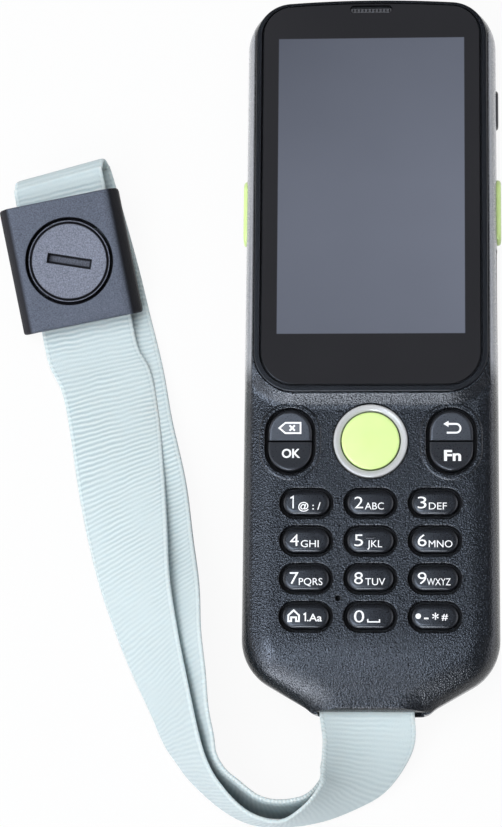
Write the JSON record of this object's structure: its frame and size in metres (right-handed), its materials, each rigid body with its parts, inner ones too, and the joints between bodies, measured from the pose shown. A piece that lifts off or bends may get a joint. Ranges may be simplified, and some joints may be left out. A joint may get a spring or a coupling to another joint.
{
  "type": "portable barcode data terminal",
  "caption": "Handheld barcode terminal with touch display, number keypad, side scan triggers and a wrist strap with a coin-slot strap lock.",
  "frame": {"origin": "on the flat back, on the middle plane, half way along the terminal's body", "axes": "+X to the right of the screen, +Y towards the scanner end, +Z out of the screen"},
  "size_m": [0.1368, 0.2235, 0.0258],
  "materials": {
    "housing": "fine moulded texture",
    "trim": "smooth satin",
    "seal_rubber": "matt",
    "steel": "plain",
    "cover_glass": "polished",
    "display": "even grey, switched off",
    "mesh": "fine punched",
    "dome_film": "film",
    "board": "solder mask",
    "key_grey": "satin",
    "scan_lime": "satin",
    "ring_silver": "satin",
    "button_black": "satin",
    "battery": "wrapped",
    "contact_gold": "plated",
    "module_black": "plain",
    "scan_red": "polished",
    "flash": "clear",
    "webbing": "ribbed woven",
    "lock_shell": "fine grain satin"
  },
  "bodies": {
    "terminal": {"front_housing": "housing", "rear_housing": "housing", "housing_seal": "seal_rubber", "housing_screws": "steel", "screen_bezel": "trim", "display_gasket": "seal_rubber", "cover_glass": "cover_glass", "lcd_module": "display", "earpiece_mesh": "mesh", "earpiece_speaker": "steel", "keypad_mat": "seal_rubber", "dome_sheet": "dome_film", "keypad_board": "board", "scan_key_ring": "ring_silver", "side_switches": "steel", "port_cover_pin": "steel", "usb_socket": "steel", "main_board": "board", "battery_pack": "battery", "battery_contacts": "contact_gold", "scan_engine": "module_black", "scan_window": "scan_red", "scan_window_frame": "trim", "camera_module": "module_black", "camera_window": "cover_glass", "flash_lens": "flash", "loudspeaker": "steel", "vibration_motor": "steel", "strap_bar": "steel"},
    "strap": {"strap_eye": "webbing", "strap_upper_ply": "webbing", "strap_lower_ply": "webbing", "strap_end_loop": "webbing"},
    "lock": {"lock_body": "lock_shell", "lock_base": "lock_shell"},
    "lock_disc": {"lock_disc": "lock_shell", "lock_seal": "seal_rubber"},
    "lock_clamp": {"lock_clamp": "steel"},
    "left_trigger": {"left_trigger": "scan_lime"},
    "right_trigger": {"right_trigger": "scan_lime"},
    "power_button": {"power_button": "button_black"},
    "port_cover": {"port_cover": "trim"},
    "battery_cover": {"battery_cover": "housing"},
    "scan_key": {"scan_key": "scan_lime"},
    "key_1": {"key_1": "key_grey"},
    "key_2": {"key_2": "key_grey"},
    "key_3": {"key_3": "key_grey"},
    "key_4": {"key_4": "key_grey"},
    "key_5": {"key_5": "key_grey"},
    "key_6": {"key_6": "key_grey"},
    "key_7": {"key_7": "key_grey"},
    "key_8": {"key_8": "key_grey"},
    "key_9": {"key_9": "key_grey"},
    "key_home": {"key_home": "key_grey"},
    "key_0": {"key_0": "key_grey"},
    "key_symbols": {"key_symbols": "key_grey"},
    "key_back": {"key_back": "key_grey"},
    "key_ok": {"key_ok": "key_grey"},
    "key_return": {"key_return": "key_grey"},
    "key_fn": {"key_fn": "key_grey"}
  },
  "joints": [
    {"name": "key_1_press", "type": "slide", "parent": "terminal", "child": "key_1", "axis": [0, 0, -1], "range_m": [0, 0.0005], "stiffness_N_per_m": 1500, "springref_m": -0.0002},
    {"name": "key_2_press", "type": "slide", "parent": "terminal", "child": "key_2", "axis": [0, 0, -1], "range_m": [0, 0.0005], "stiffness_N_per_m": 1500, "springref_m": -0.0002},
    {"name": "key_3_press", "type": "slide", "parent": "terminal", "child": "key_3", "axis": [0, 0, -1], "range_m": [0, 0.0005], "stiffness_N_per_m": 1500, "springref_m": -0.0002},
    {"name": "key_4_press", "type": "slide", "parent": "terminal", "child": "key_4", "axis": [0, 0, -1], "range_m": [0, 0.0005], "stiffness_N_per_m": 1500, "springref_m": -0.0002},
    {"name": "key_5_press", "type": "slide", "parent": "terminal", "child": "key_5", "axis": [0, 0, -1], "range_m": [0, 0.0005], "stiffness_N_per_m": 1500, "springref_m": -0.0002},
    {"name": "key_6_press", "type": "slide", "parent": "terminal", "child": "key_6", "axis": [0, 0, -1], "range_m": [0, 0.0005], "stiffness_N_per_m": 1500, "springref_m": -0.0002},
    {"name": "key_7_press", "type": "slide", "parent": "terminal", "child": "key_7", "axis": [0, 0, -1], "range_m": [0, 0.0005], "stiffness_N_per_m": 1500, "springref_m": -0.0002},
    {"name": "key_8_press", "type": "slide", "parent": "terminal", "child": "key_8", "axis": [0, 0, -1], "range_m": [0, 0.0005], "stiffness_N_per_m": 1500, "springref_m": -0.0002},
    {"name": "key_9_press", "type": "slide", "parent": "terminal", "child": "key_9", "axis": [0, 0, -1], "range_m": [0, 0.0005], "stiffness_N_per_m": 1500, "springref_m": -0.0002},
    {"name": "key_home_press", "type": "slide", "parent": "terminal", "child": "key_home", "axis": [0, 0, -1], "range_m": [0, 0.0005], "stiffness_N_per_m": 1500, "springref_m": -0.0002},
    {"name": "key_0_press", "type": "slide", "parent": "terminal", "child": "key_0", "axis": [0, 0, -1], "range_m": [0, 0.0005], "stiffness_N_per_m": 1500, "springref_m": -0.0002},
    {"name": "key_symbols_press", "type": "slide", "parent": "terminal", "child": "key_symbols", "axis": [0, 0, -1], "range_m": [0, 0.0005], "stiffness_N_per_m": 1500, "springref_m": -0.0002},
    {"name": "key_back_press", "type": "slide", "parent": "terminal", "child": "key_back", "axis": [0, 0, -1], "range_m": [0, 0.0005], "stiffness_N_per_m": 1500, "springref_m": -0.0002},
    {"name": "key_ok_press", "type": "slide", "parent": "terminal", "child": "key_ok", "axis": [0, 0, -1], "range_m": [0, 0.0005], "stiffness_N_per_m": 1500, "springref_m": -0.0002},
    {"name": "key_return_press", "type": "slide", "parent": "terminal", "child": "key_return", "axis": [0, 0, -1], "range_m": [0, 0.0005], "stiffness_N_per_m": 1500, "springref_m": -0.0002},
    {"name": "key_fn_press", "type": "slide", "parent": "terminal", "child": "key_fn", "axis": [0, 0, -1], "range_m": [0, 0.0005], "stiffness_N_per_m": 1500, "springref_m": -0.0002},
    {"name": "scan_key_press", "type": "slide", "parent": "terminal", "child": "scan_key", "axis": [0, 0, -1], "range_m": [0, 0.0005], "stiffness_N_per_m": 1500, "springref_m": -0.0002},
    {"name": "left_trigger_press", "type": "slide", "parent": "terminal", "child": "left_trigger", "axis": [1, 0, 0], "range_m": [0, 0.0006], "stiffness_N_per_m": 1500, "springref_m": -0.0002},
    {"name": "right_trigger_press", "type": "slide", "parent": "terminal", "child": "right_trigger", "axis": [-1, 0, 0], "range_m": [0, 0.0006], "stiffness_N_per_m": 1500, "springref_m": -0.0002},
    {"name": "power_button_press", "type": "slide", "parent": "terminal", "child": "power_button", "axis": [-1, 0, 0], "range_m": [0, 0.0004], "stiffness_N_per_m": 1500, "springref_m": -0.0002},
    {"name": "port_cover_hinge", "type": "hinge", "parent": "terminal", "child": "port_cover", "pos_m": [0.03257, 0.0147, 0.0124], "axis": [0, 1, 0], "range_deg": [0, 90]},
    {"name": "battery_cover_off", "type": "slide", "parent": "terminal", "child": "battery_cover", "axis": [0, 0, -1], "range_m": [0, 0.03]},
    {"name": "strap_swing", "type": "hinge", "parent": "terminal", "child": "strap", "pos_m": [0, -0.091, 0.0115], "axis": [1, 0, 0], "range_deg": [-12, 12]},
    {"name": "lock_slide", "type": "slide", "parent": "strap", "child": "lock", "axis": [-0.1933, 0.9588, 0.2079], "range_m": [-0.001, 0.004]},
    {"name": "lock_disc_turn", "type": "hinge", "parent": "lock", "child": "lock_disc", "pos_m": [-0.0825, 0.0275, 0.008], "axis": [0.0411, -0.2038, 0.9781], "range_deg": [0, 90]},
    {"name": "lock_clamp_press", "type": "slide", "parent": "lock", "child": "lock_clamp", "axis": [-0.0411, 0.2038, -0.9781], "range_m": [0, 0.0004]}
  ],
  "couplings": [
    {"joint": "lock_disc_turn", "follows": "lock_clamp_press", "rad_per_m": 3927}
  ]
}
